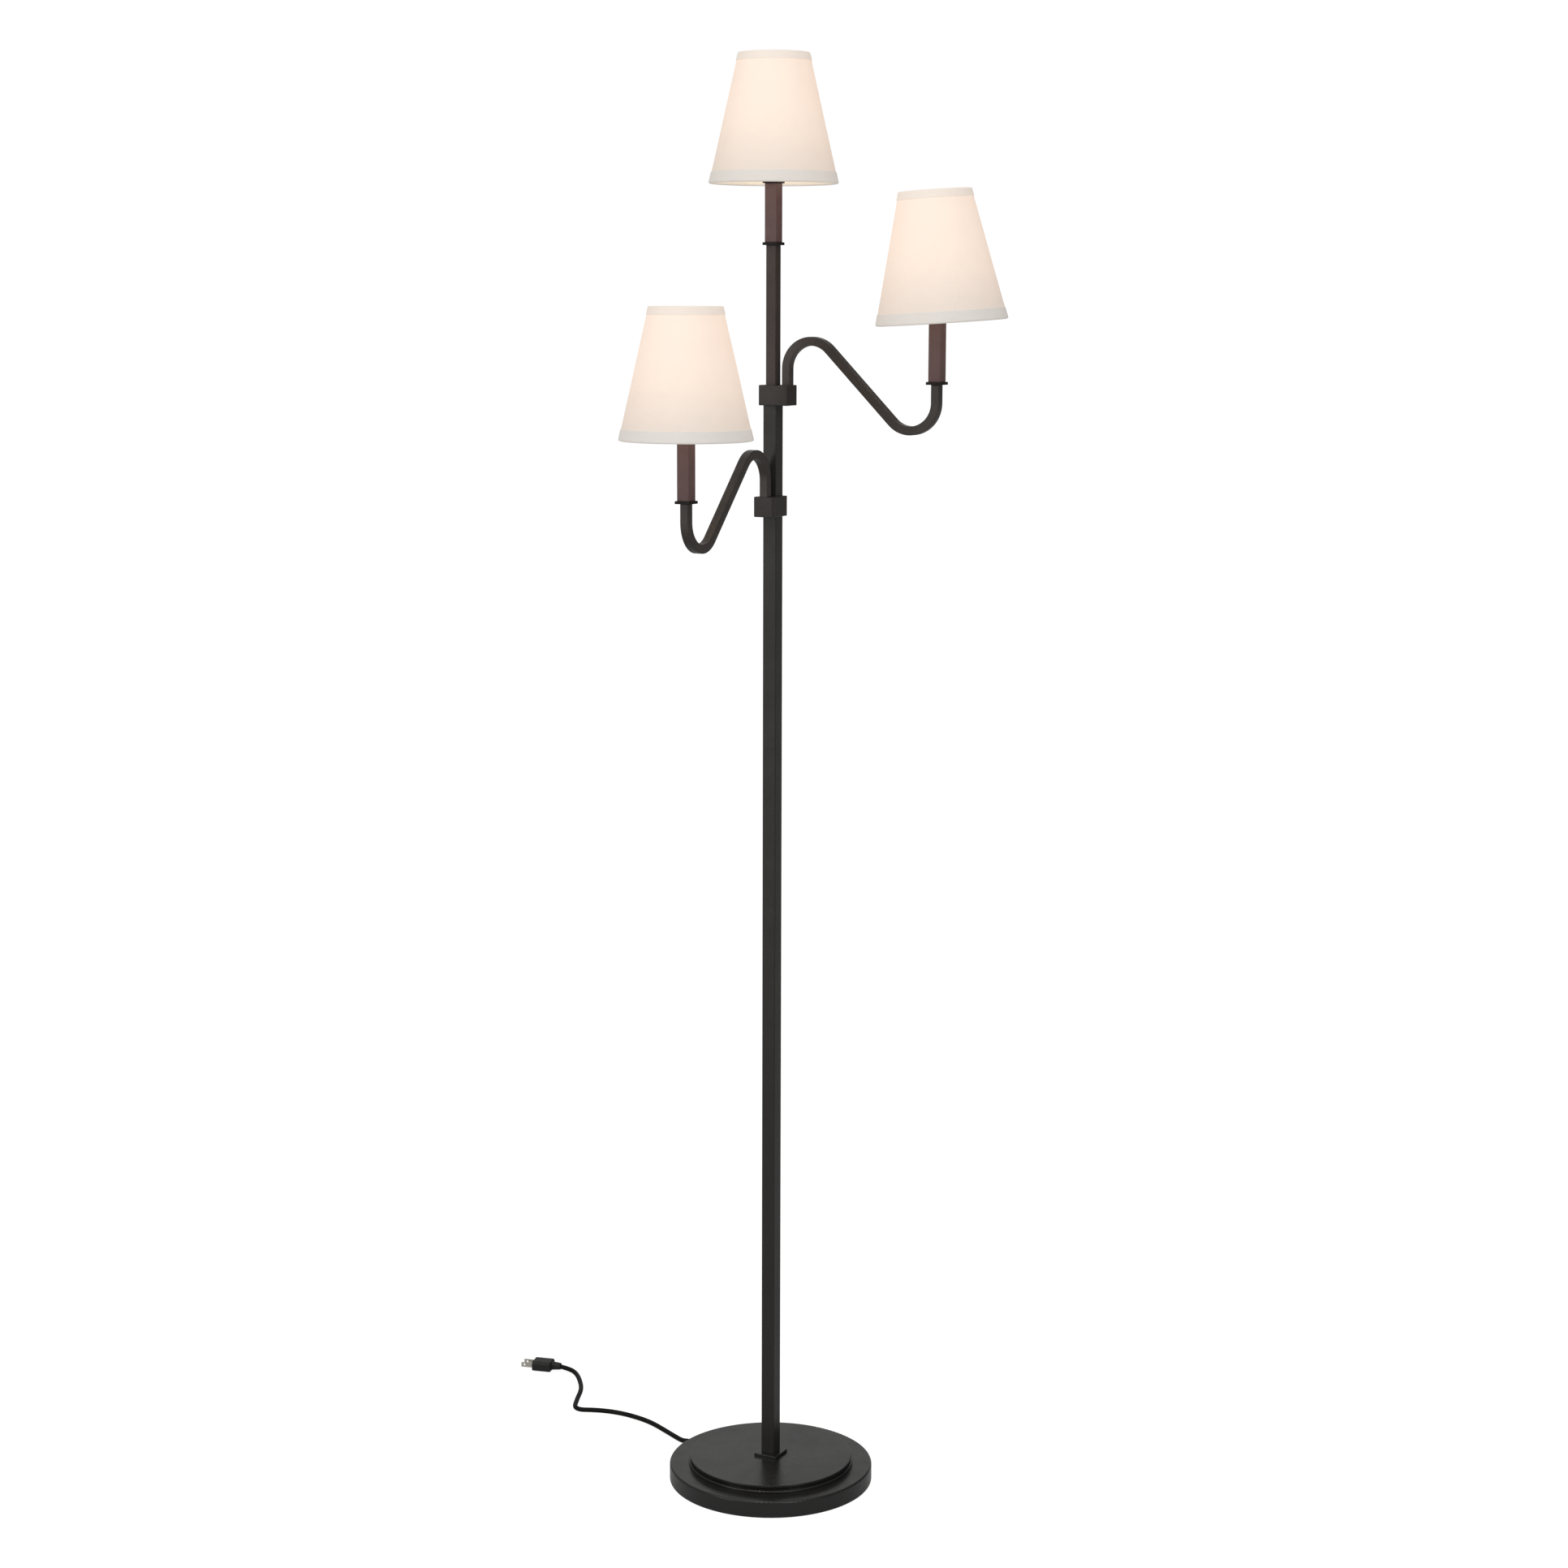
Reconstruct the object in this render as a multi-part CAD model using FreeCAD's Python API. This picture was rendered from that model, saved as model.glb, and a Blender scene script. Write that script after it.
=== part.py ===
import FreeCAD, Part
import math
import os

# Tree floor lamp: weighted round two-step base, square pole, two S-curved
# square-tube arms set at a right angle, three lights with empire shades.
# Millimetres. Origin on the floor at the pole axis, +Z up. The upper arm
# runs along +X, the lower arm along -Y.

V = FreeCAD.Vector
os.makedirs("parts", exist_ok=True)

# ---------------------------------------------------------------- driving dimensions
# base
PAD_R = 121.0            # felt pad under the base
PAD_T = 2.0
BASE_R = 127.0           # outer disc, 254 mm across
BASE_Z0 = 0.6            # underside of the rim
BASE_Z1 = 21.8           # top of the outer disc
BASE_EDGE = 2.4          # rounding of the top edge
BASE_RECESS_R = 108.0    # hollow of the casting
BASE_RECESS_Z = 15.0
STEP_R = 101.5           # upper disc, 203 mm across
STEP_LEDGE_R = 103.2     # bead ring below the upper disc
STEP_Z1 = 31.2
FLANGE_W = 31.0          # square foot plate
FLANGE_T = 3.4
STUD_R = 5.0
# pole
POLE_W = 17.5            # lower pole, square tube
POLE_WALL = 1.5
POLE_CORNER = 0.8
UPOLE_W = 12.9           # upper pole, square tube
UPOLE_WALL = 1.5
UPOLE_CORNER = 0.5
# collars
COLLAR_BACK = 13.0       # from the pole axis, away from the arm
COLLAR_FRONT = 25.2      # from the pole axis, towards the arm
COLLAR_HALF = 12.5
COLLAR_H = 24.0
COLLAR_UP_Z0 = 1341.5
COLLAR_LO_Z0 = 1210.5
# arms
ARM_W = 10.4             # square tube
ARM_WALL = 1.2
ARM_ROOT_R = 19.3        # axis of the upright root from the pole axis
ARM_TIP_R = 212.0        # axis of the outer upright from the pole axis
ARM_BEND = 32.3          # centreline radius of both bends
ARM_PEAK = 51.5          # centreline peak above the collar's top
ARM_VALLEY = -49.9       # centreline low point from the collar's top
ARM_TOP = 3.5            # upper end above the collar's top
# lights (heights above the lower plate's underside)
PLATE_W = 19.5
PLATE_T = 3.3
SLEEVE_W = 15.5
SLEEVE_WALL = 1.2
SLEEVE_H = 68.0
SHADE_Z = 71.5           # bottom rim
SHADE_H = 148.0
SHADE_RB = 75.7          # outside of the fabric at the bottom rim
SHADE_RT = 41.6          # outside of the fabric at the top rim
SHADE_T = 1.2
TRIM_T = 0.6
TRIM_BOTTOM = 12.6
TRIM_TOP = 9.2
PIVOT_Z = 145.5          # shade tilt axis, at the widest part of the bulb
TOP_LIGHT_Z = 1528.0
RIGHT_TILT = 3.7         # the right shade leans on its clip
VIEW_DIR = -62.7         # direction of the right clip's pins in plan, degrees
KEY_DIR = 117.3          # direction of the switch keys in plan, degrees
SOCKET_R = 12.0
KEY_Z = 89.0
# cord
CORD_D = 6.2
EXIT_DIR = 164.5         # where the cord leaves the base, degrees in plan
EXIT_Z = 7.2
GLAND_TIP = 139.0

C = {}


def ang(r, a, z=0.0):
    t = math.radians(a)
    return V(r * math.cos(t), r * math.sin(t), z)


def box(x0, x1, y0, y1, z0, z1):
    return Part.makeBox(x1 - x0, y1 - y0, z1 - z0, V(x0, y0, z0))


def cyl(r, z0, z1, x=0.0, y=0.0):
    return Part.makeCylinder(r, z1 - z0, V(x, y, z0), V(0, 0, 1))


def cyl_dir(r, p, d, length):
    return Part.makeCylinder(r, length, p, d)


def tube(p, q, r):
    d = q - p
    return Part.makeCylinder(r, d.Length, p, d)


def wire_run(points, r):
    s = None
    for i in range(len(points) - 1):
        t = tube(points[i], points[i + 1], r)
        s = t if s is None else s.fuse(t)
        if i > 0:
            s = s.fuse(Part.makeSphere(r, points[i]))
    s = s.removeSplitter()
    return s.Solids[0] if len(s.Solids) == 1 else s


def square_bar(w, corner, z0, z1, x=0.0, y=0.0):
    b = box(x - w / 2, x + w / 2, y - w / 2, y + w / 2, z0, z1)
    if corner > 0:
        es = [e for e in b.Edges
              if abs(e.Vertexes[0].Point.z - e.Vertexes[1].Point.z) > (z1 - z0) * 0.9]
        b = b.makeFillet(corner, es)
    return b


def square_tube(w, wall, corner, z0, z1, x=0.0, y=0.0):
    inner = w - 2 * wall
    return square_bar(w, corner, z0, z1, x, y).cut(
        box(x - inner / 2, x + inner / 2, y - inner / 2, y + inner / 2, z0 - 1, z1 + 1))


def revolve(points):
    """Turn a closed profile of (r, z) points, or arcs given as
    ('arc', mid, end), round Z."""
    edges = []
    cur = points[0]
    first = cur
    for p in points[1:]:
        if p[0] == "arc":
            mid, end = p[1], p[2]
            edges.append(Part.Arc(V(cur[0], 0, cur[1]), V(mid[0], 0, mid[1]),
                                  V(end[0], 0, end[1])).toShape())
            cur = end
        else:
            edges.append(Part.LineSegment(V(cur[0], 0, cur[1]), V(p[0], 0, p[1])).toShape())
            cur = p
    if cur != first:
        edges.append(Part.LineSegment(V(cur[0], 0, cur[1]), V(first[0], 0, first[1])).toShape())
    face = Part.Face(Part.Wire(edges))
    s = face.revolve(V(0, 0, 0), V(0, 0, 1), 360)
    return s.Solids[0] if s.Solids else Part.Solid(s)


def round_arc(cx, cz, r, a0, a1):
    """Quarter-style arc from angle a0 to a1 about (cx, cz): ('arc', mid, end)."""
    am = (a0 + a1) / 2
    f = lambda a: (cx + r * math.cos(math.radians(a)), cz + r * math.sin(math.radians(a)))
    return ("arc", f(am), f(a1))


def put(name, shape):
    C[name] = shape


def moved(s, x, y, z, rot=0.0):
    s = s.copy()
    if rot:
        s.rotate(V(0, 0, 0), V(0, 0, 1), rot)
    s.translate(V(x, y, z))
    return s


# ---------------------------------------------------------------- base
put("base_pad", cyl(PAD_R, 0.0, PAD_T))

e = BASE_EDGE
base = revolve([
    (STUD_R + 0.2, BASE_RECESS_Z),
    (BASE_RECESS_R - 3.0, BASE_RECESS_Z),
    round_arc(BASE_RECESS_R - 3.0, BASE_RECESS_Z - 3.0, 3.0, 90, 0),
    (BASE_RECESS_R, PAD_T + 0.05),
    (PAD_R + 0.5, PAD_T + 0.05),
    (PAD_R + 0.5, BASE_Z0),
    (BASE_R - 1.0, BASE_Z0),
    round_arc(BASE_R - 1.0, BASE_Z0 + 1.0, 1.0, -90, 0),
    (BASE_R, BASE_Z1 - e),
    round_arc(BASE_R - e, BASE_Z1 - e, e, 0, 90),
    (STUD_R + 0.2, BASE_Z1),
])
base = base.cut(cyl_dir(4.55, ang(BASE_RECESS_R - 8, EXIT_DIR, EXIT_Z), ang(1, EXIT_DIR), 40))
put("base_plate", base)

put("base_step_disc", revolve([
    (STUD_R + 0.2, BASE_Z1),
    (20.0, BASE_Z1),
    (20.0, 29.2),
    (97.2, 29.2),
    (97.2, BASE_Z1),
    (STEP_LEDGE_R, BASE_Z1),
    (STEP_LEDGE_R, 23.7),
    round_arc(STEP_LEDGE_R - 1.5, 23.7, 1.5, 0, 90),
    (99.4, 25.2),
    (99.4, 26.0),
    (STEP_R, 28.1),
    (STEP_R, STEP_Z1 - 0.7),
    round_arc(STEP_R - 0.7, STEP_Z1 - 0.7, 0.7, 0, 90),
    (STUD_R + 0.2, STEP_Z1),
]))

FLANGE_Z1 = STEP_Z1 + FLANGE_T
fl = square_bar(FLANGE_W, 1.0, STEP_Z1, FLANGE_Z1)
top_edges = [ed for ed in fl.Edges if all(abs(v.Point.z - FLANGE_Z1) < 1e-6 for v in ed.Vertexes)]
fl = fl.makeFillet(0.6, top_edges).cut(cyl(STUD_R + 0.15, STEP_Z1 - 1, FLANGE_Z1 + 1))
put("foot_flange", fl)

put("pole_stud", cyl(STUD_R, 5.0, 62.0).cut(cyl(3.3, 4, 63)))
put("pole_washer", cyl(12.0, BASE_RECESS_Z - 1.7, BASE_RECESS_Z - 0.02).cut(cyl(STUD_R + 0.25, 10, 20)))
hexp = [ang(17.0 / math.sqrt(3), 60 * i + 30, 6.9) for i in range(7)]
nut = Part.Face(Part.makePolygon(hexp)).extrude(V(0, 0, 6.38))
nut = nut.common(Part.makeCone(8.9, 14.9, 6.0, V(0, 0, 6.9))).cut(cyl(STUD_R + 0.03, 5, 20))
put("pole_nut", nut)

# ---------------------------------------------------------------- pole
UP_SPLIT = COLLAR_UP_Z0 + COLLAR_H / 2
plug = square_bar(POLE_W - 2 * POLE_WALL - 0.1, 0.4, FLANGE_Z1, 66.0).cut(cyl(STUD_R + 0.03, 30, 70))
put("pole_foot_block", plug)

lower = square_tube(POLE_W, POLE_WALL, POLE_CORNER, FLANGE_Z1, UP_SPLIT)
upper = square_bar(UPOLE_W, UPOLE_CORNER, UP_SPLIT, TOP_LIGHT_Z)
ui = UPOLE_W - 2 * UPOLE_WALL
upper = upper.cut(box(-ui / 2, ui / 2, -ui / 2, ui / 2, UP_SPLIT - 1, TOP_LIGHT_Z - 15))
upper = upper.cut(cyl(4.0, TOP_LIGHT_Z - 20, TOP_LIGHT_Z + 1))
red = square_bar(POLE_W - 2 * POLE_WALL - 0.1, 0.4, UP_SPLIT - 34, UP_SPLIT - 0.02)
red = red.fuse(square_bar(ui - 0.1, 0.3, UP_SPLIT - 0.02, UP_SPLIT + 32)).removeSplitter()
red = red.cut(cyl(3.4, UP_SPLIT - 40, UP_SPLIT + 40))

# ---------------------------------------------------------------- collars
# Built with the arm along +X, the pole bore round the origin.
POCKET_BOTTOM = 3.5
ARM_IN = 7.5


def collar(z0, bore_low, bore_high):
    b = box(-COLLAR_BACK, COLLAR_FRONT, -COLLAR_HALF, COLLAR_HALF, z0, z0 + COLLAR_H)
    b = b.makeFillet(0.9, b.Edges)
    zm = z0 + COLLAR_H / 2
    b = b.cut(box(-bore_low / 2, bore_low / 2, -bore_low / 2, bore_low / 2, z0 - 1, zm))
    b = b.cut(box(-bore_high / 2, bore_high / 2, -bore_high / 2, bore_high / 2, zm - 0.001, z0 + COLLAR_H + 1))
    p = (ARM_W + 0.1) / 2
    b = b.cut(box(ARM_ROOT_R - p, ARM_ROOT_R + p, -p, p, z0 + POCKET_BOTTOM, z0 + COLLAR_H + 1))
    # wire way from the pole to the arm's open end
    b = b.cut(cyl_dir(1.9, V(4, 0, z0 + 5.4), V(1, 0, 0), ARM_ROOT_R - 4))
    return b


def screw_holes(z0, b, side):
    """side: +1 or -1, the long face that carries the two set screws."""
    holes = []
    screws = []
    for x, depth in ((0.0, POLE_W / 2), (ARM_ROOT_R, ARM_W / 2)):
        zc = z0 + (7.0 if x == 0.0 else 15.5)
        d = V(0, side, 0)
        holes.append(cyl_dir(2.05, V(x, side * (depth - 0.5), zc), d, COLLAR_HALF))
        length = COLLAR_HALF - depth - 0.6
        sc = cyl_dir(2.0, V(x, side * (depth + 0.08), zc), d, length)
        hexa = [V(x + 1.15 * math.cos(math.radians(60 * i)), side * (COLLAR_HALF + 0.1),
                  zc + 1.15 * math.sin(math.radians(60 * i))) for i in range(7)]
        sc = sc.cut(Part.Face(Part.makePolygon(hexa)).extrude(V(0, -side * 2.3, 0)))
        screws.append(sc)
    for h in holes:
        b = b.cut(h)
    return b, screws


cu = collar(COLLAR_UP_Z0, POLE_W + 0.1, UPOLE_W + 0.1)
cu, sc_u = screw_holes(COLLAR_UP_Z0, cu, 1)
cl = collar(COLLAR_LO_Z0, POLE_W + 0.1, POLE_W + 0.1)
cl, sc_l = screw_holes(COLLAR_LO_Z0, cl, -1)
cl = moved(cl, 0, 0, 0, -90)
sc_l = [moved(s, 0, 0, 0, -90) for s in sc_l]
put("collar_upper", cu)
put("collar_lower", cl)
put("collar_set_screws", Part.makeCompound(sc_u + sc_l))

# wire holes in the pole walls, behind the collars
lower = lower.cut(cyl_dir(1.9, V(4, 0, COLLAR_UP_Z0 + 5.4), V(1, 0, 0), 8))
lower = lower.cut(cyl_dir(1.9, V(0, -4, COLLAR_LO_Z0 + 5.4), V(0, -1, 0), 8))
red = red.cut(cyl_dir(1.9, V(0, 0, COLLAR_UP_Z0 + 5.4), V(1, 0, 0), 10))
put("pole_lower", lower)
put("pole_upper", upper)
put("pole_reducer", red)

# ---------------------------------------------------------------- arms
# A flat S in the XZ plane: upright root, bend over the top, 45 degree run
# down, bend round the bottom, outer upright. Heights from the collar's top.


def arm_band(half):
    """Closed wire of the band within half of the centreline, in XZ."""
    s2 = math.sqrt(0.5)
    c1 = V(ARM_ROOT_R + ARM_BEND, 0, ARM_PEAK - ARM_BEND)
    c2 = V(ARM_TIP_R - ARM_BEND, 0, ARM_VALLEY + ARM_BEND)
    out1, in1 = ARM_BEND + half, ARM_BEND - half
    out2, in2 = ARM_BEND + half, ARM_BEND - half
    z_in = -COLLAR_H + ARM_IN

    def at(c, r, a):
        t = math.radians(a)
        return V(c.x + r * math.cos(t), 0, c.z + r * math.sin(t))

    # first bend: 180 -> 45 degrees (clockwise, over the top)
    # second bend: 225 -> 360 degrees (counter-clockwise, round the bottom)
    edges = []

    def line(p, q):
        edges.append(Part.LineSegment(p, q).toShape())

    def arc(c, r, a0, a1):
        edges.append(Part.Arc(at(c, r, a0), at(c, r, (a0 + a1) / 2), at(c, r, a1)).toShape())

    # upper/outer side of bend 1, then inner side of bend 2
    p0 = V(ARM_ROOT_R - half, 0, z_in)
    line(p0, at(c1, out1, 180))
    arc(c1, out1, 180, 45)
    line(at(c1, out1, 45), at(c2, in2, 225))
    arc(c2, in2, 225, 360)
    line(at(c2, in2, 360), V(ARM_TIP_R - half, 0, ARM_TOP))
    line(V(ARM_TIP_R - half, 0, ARM_TOP), V(ARM_TIP_R + half, 0, ARM_TOP))
    line(V(ARM_TIP_R + half, 0, ARM_TOP), at(c2, out2, 360))
    arc(c2, out2, 360, 225)
    line(at(c2, out2, 225), at(c1, in1, 45))
    arc(c1, in1, 45, 180)
    line(at(c1, in1, 180), V(ARM_ROOT_R + half, 0, z_in))
    line(V(ARM_ROOT_R + half, 0, z_in), p0)
    return Part.Wire(edges)


# the 45 degree run joins both bends: check that it is straight and tangent
_c1 = (ARM_ROOT_R + ARM_BEND, ARM_PEAK - ARM_BEND)
_c2 = (ARM_TIP_R - ARM_BEND, ARM_VALLEY + ARM_BEND)
_l1 = _c1[0] + _c1[1] + ARM_BEND * math.sqrt(2)
_l2 = _c2[0] + _c2[1] - ARM_BEND * math.sqrt(2)
print("arm run offset between the bends, mm:", round(_l1 - _l2, 3))
# the small difference is taken out of the valley's height
ARM_VALLEY = ARM_VALLEY + (_l1 - _l2)


def arm_shape():
    h = ARM_W / 2
    outer = Part.Face(arm_band(h)).extrude(V(0, ARM_W, 0))
    outer.translate(V(0, -h, 0))
    long_edges = [ed for ed in outer.Edges
                  if abs(abs(ed.Vertexes[0].Point.y) - h) < 1e-6
                  and abs(ed.Vertexes[0].Point.y - ed.Vertexes[1].Point.y) < 1e-6
                  and not (abs(ed.Vertexes[0].Point.z - ed.Vertexes[1].Point.z) < 1e-6
                           and abs(ed.Length - ARM_W) < 1e-3)]
    try:
        outer = outer.makeFillet(0.6, long_edges)
    except Exception as ex:
        print("arm edge rounding left out:", ex)
    hi = h - ARM_WALL
    inner = Part.Face(arm_band(hi)).extrude(V(0, 2 * hi, 0))
    inner.translate(V(0, -hi, 0))
    # the outer upright ends in a threaded block for the light's nipple
    inner = inner.cut(box(ARM_TIP_R - 9, ARM_TIP_R + 9, -9, 9, ARM_TOP - 15, ARM_TOP + 5))
    # open lower end
    inner = inner.fuse(box(ARM_ROOT_R - hi, ARM_ROOT_R + hi, -hi, hi, -COLLAR_H + ARM_IN - 2, -COLLAR_H + ARM_IN + 1))
    s = outer.cut(inner)
    s = s.cut(cyl(4.0, ARM_TOP - 20, ARM_TOP + 1, ARM_TIP_R, 0))
    return s


arm = arm_shape()
put("arm_upper", moved(arm, 0, 0, COLLAR_UP_Z0 + COLLAR_H))
put("arm_lower", moved(arm, 0, 0, COLLAR_LO_Z0 + COLLAR_H, -90))


# ---------------------------------------------------------------- lights
def bulb_profile():
    """Outside of the glass as (r, z), from the neck to the tip."""
    return [(5.7, 118.4), (6.6, 121.0), (9.6, 126.0), (13.6, 132.0), (16.4, 138.5),
            (17.4, 145.5), (16.6, 153.5), (14.2, 162.0), (10.4, 171.5), (6.6, 180.0),
            (3.4, 186.5), (1.6, 190.0)]


def spline_revolve(outer, close_r=0.0):
    pts = [V(r, 0, z) for r, z in outer]
    sp = Part.BSplineCurve()
    sp.interpolate(pts)
    return sp.toShape(), pts


def glass_shell():
    o = bulb_profile()
    t = 0.9
    e1, p1 = spline_revolve(o + [(0.0, 191.2)])
    inner = [(r - t, z) for r, z in o[:-2]]
    e2, p2 = spline_revolve(inner + [(1.4, 187.5), (0.0, 189.4)])
    edges = [e1, Part.LineSegment(p1[-1], p2[-1]).toShape(), e2,
             Part.LineSegment(p2[0], p1[0]).toShape()]
    w = Part.Wire(Part.sortEdges(edges)[0])
    s = Part.Face(w).revolve(V(0, 0, 0), V(0, 0, 1), 360)
    return s.Solids[0] if s.Solids else Part.Solid(s)


def plate(z0):
    b = box(-PLATE_W / 2, PLATE_W / 2, -PLATE_W / 2, PLATE_W / 2, z0, z0 + PLATE_T)
    b = b.makeFillet(0.5, b.Edges)
    return b.cut(cyl(3.95, z0 - 1, z0 + PLATE_T + 1))


def light(tag, x, y, z, pin_dir, tilt):
    def place(s, rot=0.0):
        return moved(s, x, y, z, rot)

    put("plate_lower_" + tag, place(plate(0)))
    put("sleeve_" + tag, place(square_tube(SLEEVE_W, SLEEVE_WALL, 0.7, PLATE_T, PLATE_T + SLEEVE_H)))
    put("plate_upper_" + tag, place(plate(PLATE_T + SLEEVE_H)))
    put("nipple_" + tag, place(cyl(3.9, -13, 84).cut(cyl(2.6, -14, 85))))

    # socket: hub, switch housing and shell holder
    zb = 2 * PLATE_T + SLEEVE_H
    body = revolve([
        (0.0, zb + 0.02), (7.5, zb + 0.02), (7.5, 78.4), (10.6, 80.4), (SOCKET_R, 82.2),
        (SOCKET_R, 99.0), (11.2, 99.8), (11.2, 117.2),
        round_arc(10.2, 117.2, 1.0, 0, 90), (0.0, 118.2)])
    body = body.cut(cyl(3.93, zb - 1, 84.2)).cut(cyl(7.0, 96.5, 120))
    kd = ang(1, KEY_DIR)
    body = body.cut(cyl_dir(2.6, ang(1.0, KEY_DIR, KEY_Z), kd, 20))
    boss = cyl_dir(4.2, ang(10.0, KEY_DIR, KEY_Z), kd, 4.0)
    body = body.fuse(boss).cut(cyl_dir(2.6, ang(1.0, KEY_DIR, KEY_Z), kd, 20)).removeSplitter()
    body = body.cut(cyl(1.4, 84, 97))
    put("socket_body_" + tag, place(body))
    shell = cyl(6.85, 96.6, 117.4).cut(cyl(6.25, 97.4, 120)).cut(cyl(3.0, 95, 99))
    put("socket_shell_" + tag, place(shell))

    key = cyl_dir(2.55, ang(3.2, KEY_DIR, KEY_Z), kd, 14.5)
    key = key.fuse(cyl_dir(3.6, ang(14.35, KEY_DIR, KEY_Z), kd, 3.0))
    pad = box(0, 11.5, -5.0, 5.0, -1.5, 1.5)
    pad = pad.makeFillet(1.2, [ed for ed in pad.Edges])
    pad.rotate(V(0, 0, 0), V(0, 0, 1), KEY_DIR)
    pad.translate(ang(16.4, KEY_DIR, KEY_Z))
    put("switch_key_" + tag, place(key.fuse(pad).removeSplitter()))

    cap = revolve([
        (0.0, 98.0), (2.2, 98.0), (2.2, 98.9), (4.6, 100.2), (5.8, 101.0),
        (5.8, 102.2), (5.35, 103.0), (5.8, 103.8), (5.35, 104.6), (5.8, 105.4),
        (5.35, 106.2), (5.8, 107.0), (5.35, 107.8), (5.8, 108.6), (5.35, 109.4),
        (5.8, 110.2), (5.35, 111.0), (5.8, 111.8), (5.8, 118.35), (0.0, 118.35)])
    put("bulb_cap_" + tag, place(cap))
    put("bulb_glass_" + tag, place(glass_shell()))

    # clip: wire ring round the bulb with four springy legs and two pivot pins
    ring_r = 18.5
    wr = 0.8
    clip = Part.makeTorus(ring_r, wr, V(0, 0, PIVOT_Z))
    o = bulb_profile()

    def glass_r(zz):
        for (r0, z0), (r1, z1) in zip(o[:-1], o[1:]):
            if z0 <= zz <= z1:
                return r0 + (r1 - r0) * (zz - z0) / (z1 - z0)
        return 0.0

    for a in (38, 142, 218, 322):
        for levels in ((PIVOT_Z, 153.5, 162.0, 170.0), (PIVOT_Z, 138.5, 131.0)):
            pts = []
            for i, zz in enumerate(levels):
                rr = ring_r if i == 0 else glass_r(zz) + wr + 0.55
                pts.append(ang(rr, a, zz))
            clip = clip.fuse(wire_run(pts, wr))
    # the legs' ends are bent into pairs
    for a0, a1 in ((38, 142), (218, 322)):
        rr = glass_r(170.0) + wr + 0.55
        pts = [ang(rr, a0 + (a1 - a0) * i / 6.0, 170.0 + (0.0 if i in (0, 6) else 0.9)) for i in range(7)]
        clip = clip.fuse(wire_run(pts, wr))
    for s in (1, -1):
        d = V(s, 0, 0)
        clip = clip.fuse(cyl_dir(2.3, V(s * 18.6, 0, PIVOT_Z), d, 3.6))
        clip = clip.fuse(cyl_dir(1.4, V(s * 19.0, 0, PIVOT_Z), d, 6.4))
        clip = clip.fuse(cyl_dir(2.4, V(s * 24.6, 0, PIVOT_Z), d, 1.2))
    clip = clip.removeSplitter()
    put("bulb_clip_" + tag, place(clip, pin_dir))

    # shade: fabric cone, trims, wire frame with two drop arms to the pins
    def shade_place(s):
        s = s.copy()
        s.rotate(V(0, 0, 0), V(0, 0, 1), pin_dir)
        if tilt:
            s.rotate(V(0, 0, PIVOT_Z), ang(1, pin_dir), tilt)
        s.translate(V(x, y, z))
        return s

    z0, z1 = SHADE_Z, SHADE_Z + SHADE_H
    slope = (SHADE_RB - SHADE_RT) / SHADE_H
    R = lambda zz: SHADE_RB - slope * (zz - z0)
    cover = revolve([(R(z0) - SHADE_T, z0), (R(z0), z0), (R(z1), z1), (R(z1) - SHADE_T, z1)])
    put("shade_cover_" + tag, shade_place(cover))
    tb = revolve([(R(z0) + 0.01, z0), (R(z0) + TRIM_T, z0), (R(z0 + TRIM_BOTTOM) + TRIM_T, z0 + TRIM_BOTTOM),
                  (R(z0 + TRIM_BOTTOM) + 0.01, z0 + TRIM_BOTTOM)])
    tt = revolve([(R(z1 - TRIM_TOP) + 0.01, z1 - TRIM_TOP), (R(z1 - TRIM_TOP) + TRIM_T, z1 - TRIM_TOP),
                  (R(z1) + TRIM_T, z1), (R(z1) + 0.01, z1)])
    put("shade_trim_" + tag, shade_place(Part.makeCompound([tb, tt])))

    wf = 1.2
    rb = R(z0 + 1.4) - SHADE_T - wf - 0.05
    rt = R(z1 - 1.4) - SHADE_T - wf - 0.15
    low = Part.makeTorus(rb, wf, V(0, 0, z0 + 1.4))
    frame = Part.makeTorus(rt, wf, V(0, 0, z1 - 1.4))
    for s in (1, -1):
        pts = [V(s * rt, 0, z1 - 1.4), V(s * 33.5, 0, z1 - 10.0), V(s * 26.0, 0, z1 - 24.0),
               V(s * 23.4, 0, z1 - 40.0), V(s * 23.4, 0, PIVOT_Z + 2.6)]
        frame = frame.fuse(wire_run(pts, 1.0))
        frame = frame.fuse(cyl_dir(3.8, V(s * 22.6, 0, PIVOT_Z), V(s, 0, 0), 1.6))
    for s in (1, -1):
        frame = frame.cut(cyl_dir(1.47, V(s * 21.0, 0, PIVOT_Z), V(s, 0, 0), 6))
    frame = frame.removeSplitter()
    put("shade_frame_" + tag, shade_place(Part.makeCompound([frame.Solids[0], low])))
    print(tag, "frame solids", len(frame.Solids))


light("top", 0, 0, TOP_LIGHT_Z, 90.0, 0.0)
light("right", ARM_TIP_R, 0, COLLAR_UP_Z0 + COLLAR_H + ARM_TOP, VIEW_DIR, RIGHT_TILT)
light("left", 0, -ARM_TIP_R, COLLAR_LO_Z0 + COLLAR_H + ARM_TOP, 90.0, 0.0)

# ---------------------------------------------------------------- cord
# gland: flange inside the base, barrel through the wall, tapered boot outside
g = revolve([(3.2, 0.0), (5.0, 0.0), (5.0, 2.4), (4.5, 2.4), (4.5, 23.6), (5.4, 23.6),
             (5.4, 25.2), (4.9, 26.6), (4.1, 35.6), (3.2, 35.6)])
g.rotate(V(0, 0, 0), V(0, 1, 0), 90)
g.rotate(V(0, 0, 0), V(0, 0, 1), EXIT_DIR)
g.translate(ang(GLAND_TIP - 35.6, EXIT_DIR, EXIT_Z))
put("cord_gland", g)

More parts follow.
